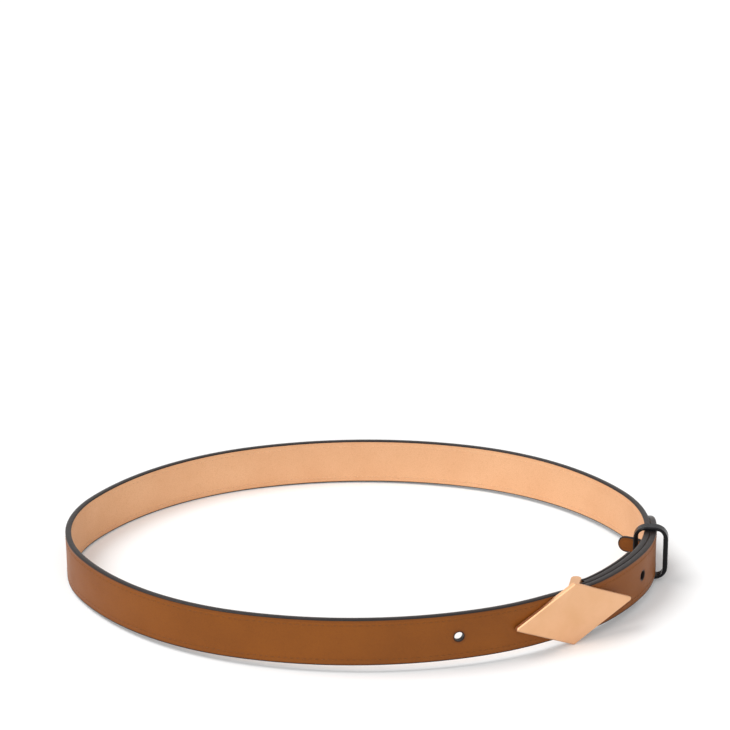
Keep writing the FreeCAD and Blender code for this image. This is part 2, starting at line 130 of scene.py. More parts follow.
class BeltStrap(bpy.types.PropertyGroup):
    """Leathers of the strap and the oval that it stands in."""
    width: size("Width", 0.025, "Width of the strap")
    face: size("Face leather", 0.0014, "Thickness of the brown outer leather")
    core: size("Core", 0.0004, "Thickness of the reinforcement between the leathers")
    lining: size("Lining", 0.0012, "Thickness of the natural inner leather")
    layer_gap: size("Layer gap", 0.0003, "Air between straps that lie on one another")
    end_radius: size("Near end radius", 0.081, "Inner radius of the end with the keeper")
    far_end_radius: size("Far end radius", 0.077, "Inner radius of the other end")
    shoulder_radius: size("Shoulder radius", 0.139, "Inner radius between end and side")
    side_radius: size("Side radius", 0.197, "Inner radius of the long sides")
    end_half_turn: angle("End half turn", 28.5, "Turn of an end, either side of the long axis")
    shoulder_turn: angle("Shoulder turn", 43.7, "Turn of a shoulder")
    plate_bearing: angle("Plate bearing", -59, "Direction that the plate faces")
    join_turn: angle("Join turn", 14.8, "Bend that lays the tail over the buckle end")
    bar_on_run: size("Bar on run", 0.0245,
                     "Crossbar from the start of the flat run behind the plate")
    wrap_radius: size("Wrap radius", 0.00165, "Inner radius of the fold round the crossbar")
    wrap_extra_turn: angle("Wrap extra turn", 12, "How far past a half turn the fold hugs the bar")
    pinch_radius: size("Pinch radius", 0.008, "Bend that lays the turn-back on the strap")
    lift_bearing: angle("Lift bearing", -7.6, "Where the tongue springs off the strap")
    lift_radius: size("Lift radius", 0.007, "Bend of the springing tongue")
    lift_turn: angle("Lift turn", 72, "How far the tongue springs inward")
    lift_end: size("Lift end", 0.009, "Straight end of the tongue")


class BeltCut(bpy.types.PropertyGroup):
    """What is cut and punched while the leathers lie flat."""
    tip_bearing: angle("Tip bearing", 16, "Where the tail's tip ends")
    tip_taper: size("Tip taper", 0.024, "Length of the tail's rounded point")
    tip_nose: size("Tip nose", 0.004, "Radius of the very end of the tail")
    tongue_width: size("Tongue width", 0.009, "Width of the narrow end of the turn-back")
    tongue_shoulder: size("Tongue shoulder", 0.052, "From the bar to where the turn-back narrows")
    lining_stop: size("Lining stop", 0.004, "Lining and core end this far from the bar")
    peg_from_tip: size("Peg from tip", 0.1454386, "Distance of the peg's hole from the tail's tip")
    hole_diameter: size("Hole diameter", 0.0046, "Punched holes of the tail")
    hole_spacing: size("Hole spacing", 0.040, "Distance between two holes")
    holes_before: count("Holes before", 1, "Holes on the long side of the peg's hole")
    holes_after: count("Holes after", 3, "Holes between the peg's hole and the tip")
    post_first: size("First post", 0.020, "From the bar to the first screw post")
    post_pitch: size("Post pitch", 0.015, "Distance between the screw posts")
    post_count: count("Posts", 2, "Screw posts")
    post_seat: size("Post seat", 0.0081, "Diameter of the sunk seat of a post's head")
    barrel_hole: size("Barrel hole", 0.0041, "Hole through the leathers for a post's barrel")


class BeltEdge(bpy.types.PropertyGroup):
    """Painted, rounded edges and the crease beside them."""
    inset: size("Inset", 0.0003, "How far the bare leather stays behind the edge")
    crown: size("Crown", 0.0004, "Depth of the edge's rounding")
    skirt: size("Skirt", 0.0007, "How far the paint reaches over the leather")
    proud: size("Proud", 0.00005, "How far the paint stands off the leather")
    crease: size("Crease", 0.0020, "Distance of the ironed crease from the edge")
    crease_depth: size("Crease depth", 0.00012, "Depth of the ironed crease")
    crease_width: size("Crease width", 0.00022, "Half width of the ironed crease")


class BeltStitches(bpy.types.PropertyGroup):
    """Rows of thread beside the edges."""
    inset: size("Inset", 0.0033, "Distance of the stitches from the edge")
    pitch: size("Pitch", 0.0031, "Distance between two stitches")
    length: size("Length", 0.0023, "Length of a stitch that shows")
    thread: size("Thread", 0.00042, "Thickness of the thread")
    slant: angle("Slant", 7, "Slant of a stitch to its row")


class BeltColours(bpy.types.PropertyGroup):
    """Colours of the finishes."""
    face: colour("Face leather", (0.292, 0.090, 0.0120), "Cognac brown dress leather")
    face_dark: colour("Face shade", (0.150, 0.045, 0.011), "Burnished parts of the face leather")
    lining: colour("Lining", (0.870, 0.505, 0.280), "Natural vegetable-tanned leather")
    lining_dark: colour("Lining shade", (0.66, 0.31, 0.145), "Handled parts of the lining")
    flesh: colour("Flesh side", (0.42, 0.19, 0.08), "Raw back of the face leather")
    edge: colour("Edge paint", (0.018, 0.013, 0.012), "Dark edge paint")
    face_thread: colour("Face thread", (0.250, 0.084, 0.016), "Thread on the face")
    lining_thread: colour("Lining thread", (0.980, 0.580, 0.330), "Thread on the lining")
    gold: colour("Pale gold", (0.775, 0.455, 0.260), "Satin pale gold plate")
    enamel: colour("Black enamel", (0.006, 0.006, 0.007), "Glossy black lacquer")


class BeltStage(bpy.types.PropertyGroup):
    """Camera, floor and lamps."""
    camera_height: size("Camera height", 0.64306, "Height of the camera above the floor")
    camera_back: size("Camera distance", 1.34142, "Distance of the camera in front of the belt")
    camera_side: bpy.props.FloatProperty(
        name="Camera side", default=-0.00076, precision=5, unit="LENGTH",
        description="How far the camera stands to the right")
    camera_pitch: angle("Camera pitch", 21.433, "How far the camera looks down")
    lens: bpy.props.FloatProperty(name="Lens", default=138.1, min=1.0, unit="CAMERA",
                                  description="Focal length of the camera")
    key: brightness("Key light", 1.9, "Strength of the light from the left")
    key_from: direction("Key from", (-0.6, 0.0, 1.0), "Where the key light stands")
    key_softness: angle("Key softness", 35, "Width of the key light in the sky")
    fill: brightness("Fill light", 1.15, "Strength of the light from the front")
    fill_from: direction("Fill from", (0.0, -1.0, 0.7), "Where the fill light stands")
    fill_softness: angle("Fill softness", 60, "Width of the fill light in the sky")
    room: share("Room light", 0.40, "Strength of the light from all sides")
    floor: colour("Floor", (0.88, 0.88, 0.88), "White floor")
    floor_lift: share("Floor lift", 0.12, "How much brighter than lit the floor looks")


# ---- courses that the leathers follow ----------------------------------------------------------

def bearing(turn):
    """Unit vector in plan, at an angle from +X."""
    return Vector((math.cos(turn), math.sin(turn)))


def leg_point(leg, distance):
    """Point at a distance along a straight, whose radius is 0, or along an arc."""
    if leg.radius == 0.0:
        return leg.point + bearing(leg.heading) * distance
    centre = leg.point + bearing(leg.heading + math.pi / 2) * leg.radius
    return centre + bearing(leg.heading - math.pi / 2 + distance / leg.radius) * leg.radius


class Course:
    """A line in plan of straights and arcs; an arc's radius is negative where it turns right."""

    def __init__(self, point, heading):
        self.point = point
        self.heading = heading
        self.legs = []
        self.length = 0.0

    def add_leg(self, length, radius):
        leg = Leg(self.point, self.heading, length, radius)
        self.legs.append(leg)
        self.point = leg_point(leg, length)
        self.heading += length / radius if radius else 0.0
        self.length += length

    def straight(self, length):
        self.add_leg(length, 0.0)

    def bend(self, turn, radius):
        """Turn left by an angle, or right where it is negative."""
        self.add_leg(radius * abs(turn), math.copysign(radius, turn))

    def stations(self, step, turn):
        """Distances no further apart than a step, nor than a turn on an arc."""
        found = [0.0]
        for leg in self.legs:
            parts = leg.length / step
            if leg.radius:
                parts = max(parts, leg.length / abs(leg.radius) / turn)
            parts = max(1, math.ceil(parts))
            start = found[-1]
            found += [start + leg.length * part / parts for part in range(1, parts + 1)]
        return found

    def sheet_stations(self, start, end):
        """Places of a leather's columns between two distances."""
        return [s for s in self.stations(SHEET_STEP, SHEET_TURN) if start < s < end]

    def point_at(self, distance):
        for leg in self.legs:
            if distance <= leg.length + SAME_POINT:
                return leg_point(leg, distance)
            distance -= leg.length
        raise ValueError("that distance lies past the end of the course")


def flesh_height(strap):
    """Height of the face leather's flesh side above the lining's inner face."""
    return strap.core + strap.lining


def thickness(strap):
    return strap.face + strap.core + strap.lining


def end_centre(strap):
    """Centre of the near end's arc, in plan."""
    side_half_turn = math.pi / 2 - strap.end_half_turn - strap.shoulder_turn
    return Vector((
        (strap.shoulder_radius - strap.end_radius) * math.cos(strap.end_half_turn)
        + (strap.side_radius - strap.shoulder_radius) * math.sin(side_half_turn), 0))


def strap_course(strap, cut, rise):
    """From the tail's tip round to the bar, at a height above the lining's inner face."""
    step = thickness(strap) + strap.layer_gap
    half_turn = strap.end_half_turn
    side_half_turn = math.pi / 2 - half_turn - strap.shoulder_turn
    join_bearing = strap.plate_bearing + strap.join_turn
    sin_end = math.sin(half_turn)
    far_shoulder = strap.shoulder_radius + (
        (strap.end_radius - strap.far_end_radius) * sin_end
        / (math.sin(half_turn + strap.shoulder_turn) - sin_end))
    # The join's bend leads from one strap outside the shoulder onto the flat run.
    cos_join = math.cos(strap.join_turn)
    tail_join = ((strap.shoulder_radius - (strap.shoulder_radius + step) * cos_join)
                 / (1 - cos_join))
    run = (strap.shoulder_radius + step - tail_join) * math.sin(strap.join_turn)
    tip = cut.tip_bearing
    course = Course(end_centre(strap) + bearing(tip) * (strap.end_radius + step + rise),
                    tip - math.pi / 2)
    # The tail lies one strap outside the buckle end, and goes on into the loop.
    course.bend(-tip - half_turn, strap.end_radius + step + rise)
    course.bend(join_bearing + half_turn, strap.shoulder_radius + step + rise)
    course.bend(-strap.join_turn, tail_join + rise)
    course.straight(run)
    # The loop runs round the far end and back to the near one.
    course.bend(-strap.plate_bearing - half_turn - strap.shoulder_turn,
                strap.shoulder_radius + rise)
    course.bend(-2 * side_half_turn, strap.side_radius + rise)
    course.bend(-strap.shoulder_turn, far_shoulder + rise)
    course.bend(-2 * half_turn, strap.far_end_radius + rise)
    course.bend(-strap.shoulder_turn, far_shoulder + rise)
    course.bend(-2 * side_half_turn, strap.side_radius + rise)
    course.bend(-strap.shoulder_turn, strap.shoulder_radius + rise)
    course.bend(-2 * half_turn, strap.end_radius + rise)
    # The buckle end lies under the tail, as far as the bar on the flat run.
    course.bend(join_bearing + half_turn, strap.shoulder_radius + rise)
    course.bend(-strap.join_turn, tail_join - step + rise)
    course.straight(run - strap.bar_on_run)
    return course


def face_course(strap, cut):
    """Flesh side of the face leather: the strap's course, round the bar and back along it."""
    flesh = flesh_height(strap)
    course = strap_course(strap, cut, flesh)
    join_bearing = strap.plate_bearing + strap.join_turn
    join_leg = course.legs[-2]
    join = join_leg.point + bearing(join_leg.heading + math.pi / 2) * join_leg.radius
    join_radius = abs(join_leg.radius) - flesh - strap.layer_gap
    course.bend(-math.pi - strap.wrap_extra_turn, strap.wrap_radius)
    # The straight ends where the pinch's arc can touch the turn-back's arc inside the join.
    along = bearing(course.heading)
    side = bearing(course.heading + math.pi / 2) * strap.pinch_radius
    reach = course.point + side - join
    inner = join_radius - strap.pinch_radius
    ahead = reach.dot(along)
    course.straight(math.sqrt(ahead ** 2 - reach.dot(reach) + inner ** 2) - ahead)
    touch = course.point + side - join
    touch_bearing = math.atan2(touch.y, touch.x)
    course.bend((touch_bearing + math.pi / 2 - course.heading) % (2 * math.pi), strap.pinch_radius)
    course.bend(join_bearing - touch_bearing, join_radius)
    course.bend(-strap.end_half_turn - join_bearing, strap.shoulder_radius - strap.layer_gap)
    course.bend(strap.lift_bearing + strap.end_half_turn, strap.end_radius - strap.layer_gap)
    course.bend(strap.lift_turn, strap.lift_radius)
    course.straight(strap.lift_end)
    return course


def fold_start(strap, cut):
    """Distance along the face leather's course at which it goes round the bar."""
    return strap_course(strap, cut, flesh_height(strap)).length


def same_place(first, second, distance):
    """Distance on one course abreast of a distance on another that turns as it does."""
    passed = 0.0
    for here, there in zip(first.legs, second.legs):
        if distance <= here.length + SAME_POINT:
            return passed + there.length * distance / here.length
        distance -= here.length
        passed += there.length
    raise ValueError("that distance lies past the end of the course")


def nearest_station(course, first, last, point):
    """Distance on a course, between two others, where it comes nearest to a point, by thirds."""
    while last - first > SAME_POINT:
        third = (last - first) / 3
        early, late = (course.point_at(place) - point for place in (first + third, last - third))
        if early.length < late.length:
            last -= third
        else:
            first += third
    return (first + last) / 2


def strap_place(strap):
    """Where the upright strap stands: the keeper slides about its near end's leaning axis."""
    joint = next(j for j in frame["joints"] if j["name"] == "keeper_slide")
    turn = UP.rotation_difference(Vector(joint["axis"])).to_matrix().to_4x4()
    centre = end_centre(strap).to_3d() + UP * strap.width / 2
    return Matrix.Translation(Vector(joint["pos_m"]) - turn @ centre) @ turn


# ---- flat outlines -----------------------------------------------------------------------------

def arc_rims(centre, radius, first, last, parts):
    """Points of an outline's arc between two angles; a hollow arc has a negative radius."""
    turns = [first + (last - first) * part / parts for part in range(parts + 1)]
    return [Rim(centre[0] + radius * math.cos(turn), centre[1] + radius * math.sin(turn),
                math.cos(turn), math.sin(turn)) for turn in turns]


def straight_rims(places, height):
    """Points of the straight upper side of a leather."""
    return [Rim(x, height, 0.0, 1.0) for x in places]


def mirrored(rims, middle):
    """The lower side under an upper one, run the other way."""
    return [Rim(rim.x, 2 * middle - rim.z, rim.out_x, -rim.out_z) for rim in reversed(rims)]


def tip_outline(strap, cut):
    """Rounded point of the tail, clockwise from its lower side to its upper one."""
    middle = strap.width / 2
    nose = cut.tip_nose
    length = cut.tip_taper
    # The side arc is tangent to the strap's edge and to the nose.
    radius = ((length - nose) ** 2 + middle ** 2 - nose ** 2) / (2 * (middle - nose))
    meeting = math.pi / 2 + math.asin((length - nose) / (radius - nose))
    upper = arc_rims((nose, middle), nose, math.pi, meeting, NOSE_PARTS)[:-1]
    upper += arc_rims((length, strap.width - radius), radius, meeting, math.pi / 2, POINT_PARTS)
    return mirrored(upper[1:], middle) + upper


def shoulder_outline(strap, cut, start):
    """Upper side of the narrowing of the turn-back, from wide to narrow."""
    bend = (strap.width - cut.tongue_width) / 4
    height = strap.width - bend
    round_arc = arc_rims((start, height), bend, math.pi / 2, 0.0, SHOULDER_PARTS)
    hollow_arc = arc_rims((start + 2 * bend, height), -bend, 0.0, math.pi / 2, SHOULDER_PARTS)
    return round_arc + hollow_arc[1:]


def tongue_end(strap, cut, end):
    """Round end of the tongue, clockwise from its upper side to its lower one."""
    radius = cut.tongue_width / 2
    return arc_rims((end - radius, strap.width / 2), radius, math.pi / 2, -math.pi / 2,
                    TONGUE_PARTS)


def strap_outline(strap, cut, course, end):
    """The strap's edge from its lower end, clockwise round the tail's tip to its upper end."""
    upper = straight_rims([*course.sheet_stations(cut.tip_taper, end), end], strap.width)
    return mirrored(upper, strap.width / 2) + tip_outline(strap, cut) + upper


def fold_outline(strap, cut, course, start):
    """The turn-back's edge from its upper start, clockwise round the tongue and back."""
    middle = strap.width / 2
    half = cut.tongue_width / 2
    shoulder = fold_start(strap, cut) + cut.tongue_shoulder
    narrowing = shoulder_outline(strap, cut, shoulder)
    upper = straight_rims([start, *course.sheet_stations(start, shoulder)], strap.width)
    upper += narrowing
    upper += straight_rims(course.sheet_stations(narrowing[-1].x, course.length - half),
                           middle + half)
    return upper + tongue_end(strap, cut, course.length) + mirrored(upper, middle)


# ---- leathers cut flat -------------------------------------------------------------------------

class Pattern:
    """A leather cut flat: X runs along it, Z is its height, and each point knows its inset."""

    def __init__(self):
        self.points = []
        self.faces = []
        self.found = {}

    def point(self, x, z, inset):
        """Number of a point; points that fall together are one."""
        key = (round(x / SAME_POINT), round(z / SAME_POINT))
        if key not in self.found:
            self.found[key] = len(self.points)
            self.points.append((x, z, inset))
        return self.found[key]

    def face(self, *corners):
        """A face, without the corners that fall together."""
        ids = list(dict.fromkeys(self.point(*corner) for corner in corners))
        if len(ids) > 2:
            self.faces.append(ids)

    def fan(self, rays):
        """Faces between rays that run from the outline inwards, clockwise round it."""
        for ray, following in zip(rays, rays[1:]):
            for step in range(len(ray) - 1):
                self.face(ray[step], following[step], following[step + 1], ray[step + 1])

    def weave(self, columns, holes=()):
        """Faces between columns that run from lower edge to upper, but for the holes' windows."""
        for column, following in zip(columns, columns[1:]):
            x = (column[0][0] + following[0][0]) / 2
            hole = next((hole for hole in holes if abs(hole.x - x) < WINDOW), None)
            for row in range(len(column) - 1):
                z = (column[row][1] + column[row + 1][1]) / 2
                if hole is None or abs(z - hole.z) > WINDOW:
                    self.face(column[row], column[row + 1], following[row + 1], following[row])

    def ring(self, hole):
        """Faces between a hole and the square window that was left for it."""
        side = [WINDOW * (2 * part / WINDOW_PARTS - 1) for part in range(WINDOW_PARTS)]
        window = [(-WINDOW, d) for d in side] + [(d, WINDOW) for d in side]
        window += [(WINDOW, -d) for d in side] + [(-d, -WINDOW) for d in side]
        rays = []
        for corner in map(Vector, window):
            rim = [corner.normalized() * (hole.radius + extra) for extra in LIP_STEPS]
            ray = [corner, (corner + rim[0]) / 2, *rim]
            rays.append([(hole.x + p.x, hole.z + p.y, hole.z) for p in ray])
        self.fan(rays + rays[:1])


def leather_rows(strap, edge):
    """Rows of a leather, close together at the painted skirt, the crease and the holes."""
    middle = strap.width / 2
    border = edge.crease + BORDER_REST
    beside = [edge.inset, edge.skirt, edge.skirt + SKIRT_REST, edge.crease - CREASE_FLANK,
              edge.crease, edge.crease + CREASE_FLANK, border, INNER_ROW]
    inside = [middle - WINDOW + WINDOW * part * 2 / WINDOW_PARTS
              for part in range(WINDOW_PARTS // 2 + 1)]
    return Rows(beside + inside, border, middle)


def ray_from(rim, centre, rows):
    """Points from an outline's point inwards to a centre, one for each row."""
    ray = []
    for inset in rows.insets:
        near = min(inset, rows.border)
        x = rim.x - rim.out_x * near
        z = rim.z - rim.out_z * near
        closing = max(0.0, (inset - rows.border) / (rows.middle - rows.border))
        ray.append((x + (centre[0] - x) * closing, z + (centre[1] - z) * closing, inset))
    return ray


def column_at(upper, rows, axis_x):
    """Points across a leather, from its lower edge to its upper."""
    centre = (axis_x, rows.middle)
    lower, = mirrored([upper], rows.middle)
    return ray_from(lower, centre, rows) + ray_from(upper, centre, rows)[-2::-1]


def straight_columns(places, height, rows):
    """Columns of a leather whose upper side is straight."""
    return [column_at(rim, rows, rim.x) for rim in straight_rims(places, height)]


def body_stations(course, start, end, holes=()):
    """Places of a leather's columns from start to end, with a window round each hole."""
    found = course.sheet_stations(start, end)
    for hole in holes:
        found = [s for s in found if abs(s - hole.x) > WINDOW + LEAST_STEP]
        found += [hole.x + WINDOW * (2 * part / WINDOW_PARTS - 1)
                  for part in range(WINDOW_PARTS + 1)]
    found = [s for s in found if s - start > LEAST_STEP and end - s > LEAST_STEP]
    return [start, *sorted(found), end]


def strap_holes(strap, cut, inner, course, post_diameter):
    """Holes of the tail and of the posts, placed on the inner course and moved to a leather's."""
    places = [(cut.peg_from_tip + step * cut.hole_spacing, cut.hole_diameter)
              for step in range(-cut.holes_after, cut.holes_before + 1)]
    places += [(inner.length - cut.post_first - number * cut.post_pitch, post_diameter)
               for number in range(cut.post_count)]
    return [Hole(same_place(inner, course, place), strap.width / 2, diameter / 2)
            for place, diameter in places]


def cut_strap(strap, cut, edge, course, end, holes):
    """Pattern of a leather from the tail's tip to a distance along its course."""
    rows = leather_rows(strap, edge)
    pattern = Pattern()
    centre = (cut.tip_taper, rows.middle)
    pattern.fan([ray_from(rim, centre, rows) for rim in tip_outline(strap, cut)])
    places = body_stations(course, cut.tip_taper, end, holes)
    pattern.weave(straight_columns(places, strap.width, rows), holes)
    for hole in holes:
        pattern.ring(hole)
    return pattern


def turn_back_holes(strap, cut, course, start):
    """Barrel holes of the turn-back, each abreast of its post's seat."""
    inner = strap_course(strap, cut, 0.0)
    holes = []
    for number in range(cut.post_count):
        along = cut.post_first + number * cut.post_pitch
        place = nearest_station(course, start + along - WINDOW, start + along + 2 * WINDOW,
                                inner.point_at(inner.length - along))
        holes.append(Hole(place, strap.width / 2, cut.barrel_hole / 2))
    return holes


def add_turn_back(pattern, strap, cut, edge, course, start):
    """Carries the face leather's pattern on round the bar to the tongue's round end."""
    rows = leather_rows(strap, edge)
    shoulder = start + cut.tongue_shoulder
    holes = turn_back_holes(strap, cut, course, start)
    wide = body_stations(course, start, shoulder, holes)
    pattern.weave(straight_columns(wide, strap.width, rows), holes)
    for hole in holes:
        pattern.ring(hole)
    outline = shoulder_outline(strap, cut, shoulder)
    length = outline[-1].x - shoulder
    pattern.weave([column_at(rim, rows, shoulder + length * part / (len(outline) - 1))
                   for part, rim in enumerate(outline)])
    half = cut.tongue_width / 2
    narrow = body_stations(course, outline[-1].x, course.length - half)
    pattern.weave(straight_columns(narrow, rows.middle + half, rows))
    centre = (course.length - half, rows.middle)
    pattern.fan([ray_from(rim, centre, rows) for rim in tongue_end(strap, cut, course.length)])


# ---- flat pieces with thickness ----------------------------------------------------------------

def relief(edge, holes, x, z, inset):
    """How far a leather's skin lies below its face, at the crease, the edge and the holes."""
    offset = (inset - edge.crease) / edge.crease_width
    depth = edge.crease_depth * math.exp(-offset * offset)
    depth += edge.crown * max(0.0, 1 - inset / edge.skirt) ** 2
    for hole in holes:
        if abs(x - hole.x) < WINDOW:
            away = math.hypot(x - hole.x, z - hole.z) - hole.radius
            depth += LIP_DEPTH * max(0.0, 1 - away / LIP) ** 2
    return depth


def leather_mesh(name, pattern, thick, edge, holes, raw_back=False):
    """A flat leather with its skins, edges and hole walls; a raw back has no relief."""
    total = len(pattern.points)
    depths = [relief(edge, holes, *point) for point in pattern.points]
    top = [(x, thick - depth, z) for (x, z, _), depth in zip(pattern.points, depths)]
    bottom = [(x, 0.0 if raw_back else depth, z)
              for (x, z, _), depth in zip(pattern.points, depths)]
    faces = pattern.faces
    back = [[corner + total for corner in reversed(face)] for face in faces]
    used = {(a, b) for face in faces for a, b in zip(face, face[1:] + face[:1])}
    walls = [(b, a, a + total, b + total) for a, b in used if (b, a) not in used]
    mesh = bpy.data.meshes.new(name)
    mesh.from_pydata(top + bottom, [], faces + back + sorted(walls))
    insets = [inset for _, _, inset in pattern.points]
    mesh.attributes.new("inset", "FLOAT", "POINT").data.foreach_set("value", insets * 2)
    lips = [0.0] * total
    for place, (x, z, _) in enumerate(pattern.points):
        for hole in holes:
            away = math.hypot(x - hole.x, z - hole.z) - hole.radius
            lips[place] = max(lips[place], 1 - away / HANDLED)
    mesh.attributes.new("lip", "FLOAT", "POINT").data.foreach_set("value", lips * 2)
    sides = [("back", len(faces), len(back)), ("bore", len(faces) + len(back), len(walls))]
    for side, before, number in sides:
        chosen = [before <= face < before + number for face in range(len(mesh.polygons))]
        mesh.attributes.new(side, "BOOLEAN", "FACE").data.foreach_set("value", chosen)
    return mesh


def bead_mesh(name, path, thick, edge):
    """Rounded bead of paint that runs along a flat outline, as high as the leather is thick."""
    half = thick / 2
    turns = [math.pi * part / BEAD_PARTS - math.pi / 2 for part in range(BEAD_PARTS + 1)]
    profile = [(edge.crown * (math.cos(turn) - 1), half + (half + edge.proud) * math.sin(turn))
               for turn in turns]
    # Behind its arch the bead goes in under both skins of the leather.
    behind = -edge.skirt - edge.proud
    profile += [(-edge.skirt, thick + edge.proud / 2), (behind, thick - 2 * edge.proud),
                (behind, 2 * edge.proud), (-edge.skirt, -edge.proud / 2)]
    corners = len(profile)
    vertices = [(rim.x + rim.out_x * out, y, rim.z + rim.out_z * out)
                for rim in path for out, y in profile]
    faces = []
    for here in range(0, len(vertices) - corners, corners):
        there = here + corners
        for side in range(corners):
            following = (side + 1) % corners
            faces.append((here + side, there + side, there + following, here + following))
    faces.append(tuple(range(corners)))
    faces.append(tuple(range(len(vertices) - 1, len(vertices) - 1 - corners, -1)))
    mesh = bpy.data.meshes.new(name)
    mesh.from_pydata(vertices, [], faces)
    return mesh


def row_mesh(name, path, inset, height):
    """A line of edges beside a flat outline, for the stitches to follow."""
    vertices = [(rim.x - rim.out_x * inset, height, rim.z - rim.out_z * inset) for rim in path]
    mesh = bpy.data.meshes.new(name)
    mesh.from_pydata(vertices, [(i, i + 1) for i in range(len(vertices) - 1)], [])
    return mesh


# ---- node trees --------------------------------------------------------------------------------

class Tree:
    """A node tree under construction."""

    def __init__(self, tree):
        self.tree = tree
        self.column = 0

    def node(self, kind, inputs=None, **settings):
        """A new node; each input gets a value, or a link from another node's output."""
        node = self.tree.nodes.new(kind)
        node.location = (self.column, 0)
        self.column += 200
        for key, value in settings.items():
            setattr(node, key, value)
        for key, value in (inputs or {}).items():
            if isinstance(value, bpy.types.NodeSocket):
                self.tree.links.new(value, node.inputs[key])
            else:
                node.inputs[key].default_value = value
        return node


def geometry_tree(name, sockets):
    """A geometry tree with named inputs after its geometry."""
    group = bpy.data.node_groups.new(name, "GeometryNodeTree")
    group.is_modifier = True
    group.interface.new_socket("Geometry", in_out="INPUT", socket_type="NodeSocketGeometry")
    for label, kind in sockets:
        group.interface.new_socket(label, in_out="INPUT", socket_type=kind)
    group.interface.new_socket("Geometry", in_out="OUTPUT", socket_type="NodeSocketGeometry")
    tree = Tree(group)
    return tree, tree.node("NodeGroupInput").outputs


def flat_place(tree):
    """Coordinates of a flat piece's points: X along it, Y through it, Z up it."""
    position = tree.node("GeometryNodeInputPosition").outputs[0]
    return tree.node("ShaderNodeSeparateXYZ", {0: position}).outputs


def add_bend(tree, geometry, course):
    """Lays flat geometry along a course: X along it, Y to its left, Z up."""
    info = tree.node("GeometryNodeObjectInfo", {"Object": course})
    place = flat_place(tree)
    sample = tree.node("GeometryNodeSampleCurve",
                       {"Curves": info.outputs["Geometry"], "Length": place["X"]},
                       mode="LENGTH", use_all_curves=True)
    left = tree.node("ShaderNodeVectorMath", {0: UP, 1: sample.outputs["Tangent"]},
                     operation="CROSS_PRODUCT")
    aside = tree.node("ShaderNodeVectorMath", {0: left.outputs[0], "Scale": place["Y"]},
                      operation="SCALE")
    raised = tree.node("ShaderNodeCombineXYZ", {"Z": place["Z"]})
    moved = tree.node("ShaderNodeVectorMath", {0: sample.outputs["Position"], 1: aside.outputs[0]},
                      operation="ADD")
    final = tree.node("ShaderNodeVectorMath", {0: moved.outputs[0], 1: raised.outputs[0]},
                      operation="ADD")
    return tree.node("GeometryNodeSetPosition",
                     {"Geometry": geometry, "Position": final.outputs[0]}).outputs[0]


def bent_leather_tree():
    """Bends a flat leather along a course and finishes its face, its back and its walls."""
    tree, given = geometry_tree("Bent Leather", [
        ("Course", "NodeSocketObject"), ("Face Finish", "NodeSocketMaterial"),
        ("Back Finish", "NodeSocketMaterial"), ("Bore Finish", "NodeSocketMaterial")])
    place = flat_place(tree)
    flat = tree.node("ShaderNodeCombineXYZ", {"X": place["X"], "Y": place["Z"]})
    mapped = tree.node("GeometryNodeStoreNamedAttribute",
                       {"Geometry": given["Geometry"], "Name": "UVMap", "Value": flat.outputs[0]},
                       data_type="FLOAT2", domain="CORNER")
    bent = add_bend(tree, mapped.outputs[0], given["Course"])
    real = tree.node("GeometryNodeRealizeInstances", {"Geometry": bent})
    finished = tree.node("GeometryNodeSetMaterial",
                         {"Geometry": real.outputs[0], "Material": given["Face Finish"]})
    for side, finish in (("back", "Back Finish"), ("bore", "Bore Finish")):
        chosen = tree.node("GeometryNodeInputNamedAttribute", {"Name": side}, data_type="BOOLEAN")
        finished = tree.node("GeometryNodeSetMaterial", {
            "Geometry": finished.outputs[0], "Selection": chosen.outputs["Attribute"],
            "Material": given[finish]})
    tree.node("NodeGroupOutput", {"Geometry": finished.outputs[0]})
    return tree.tree


def stitch_tree():
    """Sets stitches along a flat row, then bends them along a course."""
    tree, given = geometry_tree("Stitches", [
        ("Course", "NodeSocketObject"), ("Pitch", "NodeSocketFloat"),
        ("Length", "NodeSocketFloat"), ("Thread", "NodeSocketFloat"),
        ("Slant", "NodeSocketFloat"), ("Finish", "NodeSocketMaterial")])
    row = tree.node("GeometryNodeMeshToCurve", {"Mesh": given["Geometry"]})
    pitched = tree.node("GeometryNodeResampleCurve",
                        {"Curve": row.outputs[0], "Length": given["Pitch"]}, mode="LENGTH")
    # A ball of unit width is drawn out to a stitch.
    thread = tree.node("GeometryNodeMeshUVSphere", {"Segments": 6, "Rings": 4, "Radius": 0.5})
    shape = tree.node("ShaderNodeCombineXYZ",
                      {"X": given["Thread"], "Y": given["Thread"], "Z": given["Length"]})
    turned = tree.node("ShaderNodeCombineXYZ", {"Y": given["Slant"]})
    stitch = tree.node("GeometryNodeTransform", {
        "Geometry": thread.outputs["Mesh"], "Scale": shape.outputs[0],
        "Rotation": turned.outputs[0]})
    heading = tree.node("FunctionNodeAlignRotationToVector",
                        {"Vector": tree.node("GeometryNodeInputTangent").outputs[0]},
                        axis="Z", pivot_axis="Y")
    sewn = tree.node("GeometryNodeInstanceOnPoints", {
        "Points": pitched.outputs[0], "Instance": stitch.outputs[0],
        "Rotation": heading.outputs[0]})
    real = tree.node("GeometryNodeRealizeInstances", {"Geometry": sewn.outputs[0]})
    bent = add_bend(tree, real.outputs[0], given["Course"])
    smooth = tree.node("GeometryNodeSetShadeSmooth", {"Geometry": bent})
    finished = tree.node("GeometryNodeSetMaterial",
                         {"Geometry": smooth.outputs[0], "Material": given["Finish"]})
    tree.node("NodeGroupOutput", {"Geometry": finished.outputs[0]})
    return tree.tree


def shared_tree(name, maker):
    """A tree that several pieces use, made once."""
    return bpy.data.node_groups.get(name) or maker()


